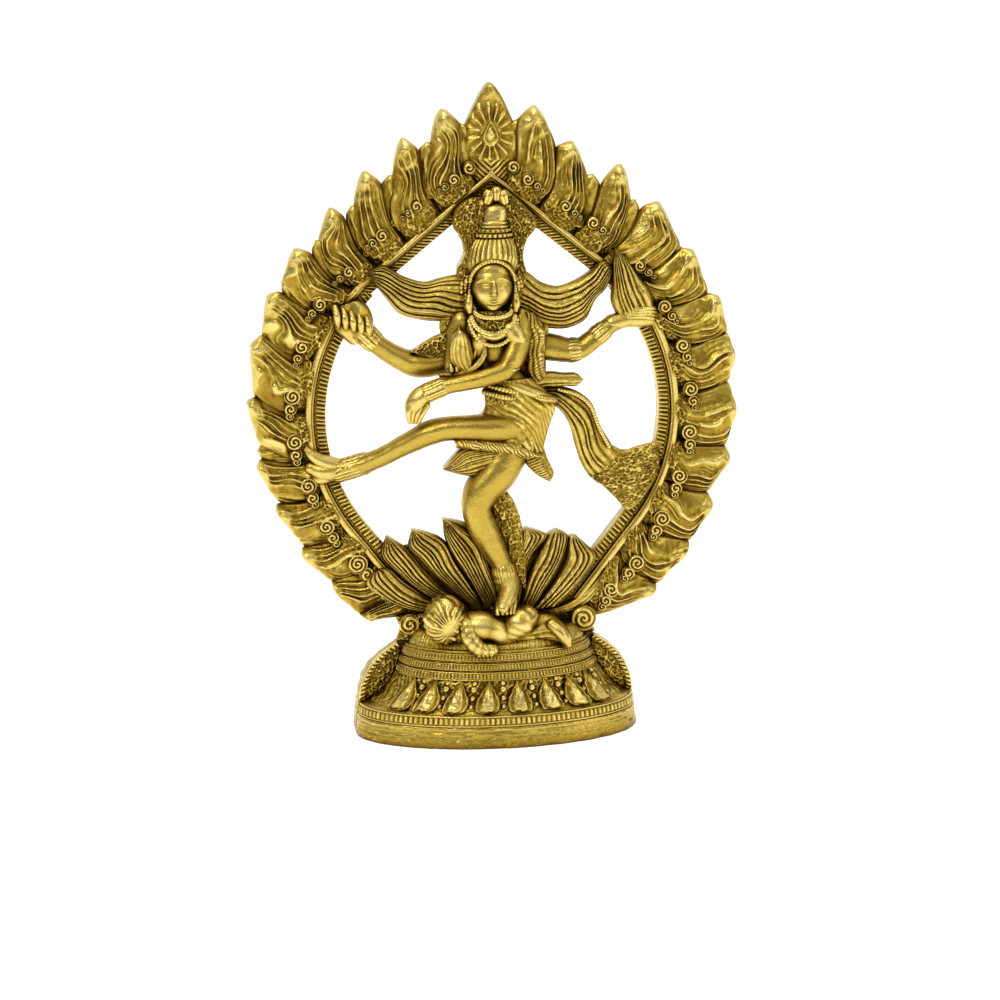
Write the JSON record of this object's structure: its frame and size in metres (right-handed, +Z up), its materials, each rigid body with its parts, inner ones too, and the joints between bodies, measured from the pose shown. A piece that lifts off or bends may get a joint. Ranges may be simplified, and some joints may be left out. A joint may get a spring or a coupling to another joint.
{
  "type": "brass dancer statue",
  "caption": "Cast-brass four-armed dancer in a pointed arch of flames, one leg raised, on a hollow lotus base with a flat foot to stand on a shelf.",
  "frame": {"origin": "middle of the flat underside of the base, on the surface it stands on", "axes": "+Z up; -Y towards the front of the figure; +X to the viewer's right"},
  "size_m": [0.1863, 0.0422, 0.248],
  "materials": {
    "antique_brass": "cast yellow brass, wire-brushed satin on the high relief, dark brown patina left in the recesses"
  },
  "bodies": {
    "root": {"anklets": "antique_brass", "arch_foot": "antique_brass", "base_shell": "antique_brass", "bead_band": "antique_brass", "blessing_arm": "antique_brass", "cord_left": "antique_brass", "cord_right": "antique_brass", "corded_bands": "antique_brass", "crossing_arm": "antique_brass", "drum_arm": "antique_brass", "drum_hand": "antique_brass", "dwarf_body": "antique_brass", "dwarf_foot": "antique_brass", "dwarf_head": "antique_brass", "dwarf_thigh": "antique_brass", "finial": "antique_brass", "flame_arm": "antique_brass", "flames_left_1": "antique_brass", "flames_left_2": "antique_brass", "flames_left_3": "antique_brass", "flames_left_4": "antique_brass", "flames_left_5": "antique_brass", "flames_left_6": "antique_brass", "flames_right_1": "antique_brass", "flames_right_2": "antique_brass", "flames_right_3": "antique_brass", "flames_right_4": "antique_brass", "flames_right_5": "antique_brass", "flames_right_6": "antique_brass", "foliage_left": "antique_brass", "foliage_right": "antique_brass", "front_flap": "antique_brass", "gable_cord_left": "antique_brass", "gable_cord_right": "antique_brass", "gable_left": "antique_brass", "gable_right": "antique_brass", "hair_left": "antique_brass", "hair_right": "antique_brass", "hand_flame": "antique_brass", "head": "antique_brass", "headdress": "antique_brass", "knee_drape": "antique_brass", "lotus_petals": "antique_brass", "necklace": "antique_brass", "panel_left": "antique_brass", "panel_right": "antique_brass", "rail_left": "antique_brass", "rail_right": "antique_brass", "raised_foot": "antique_brass", "raised_leg": "antique_brass", "rope_mouldings": "antique_brass", "sash": "antique_brass", "sash_end": "antique_brass", "scarf": "antique_brass", "skirt": "antique_brass", "standing_foot": "antique_brass", "standing_leg": "antique_brass", "tail_flap": "antique_brass", "torso": "antique_brass", "volutes": "antique_brass"}
  },
  "joints": []
}
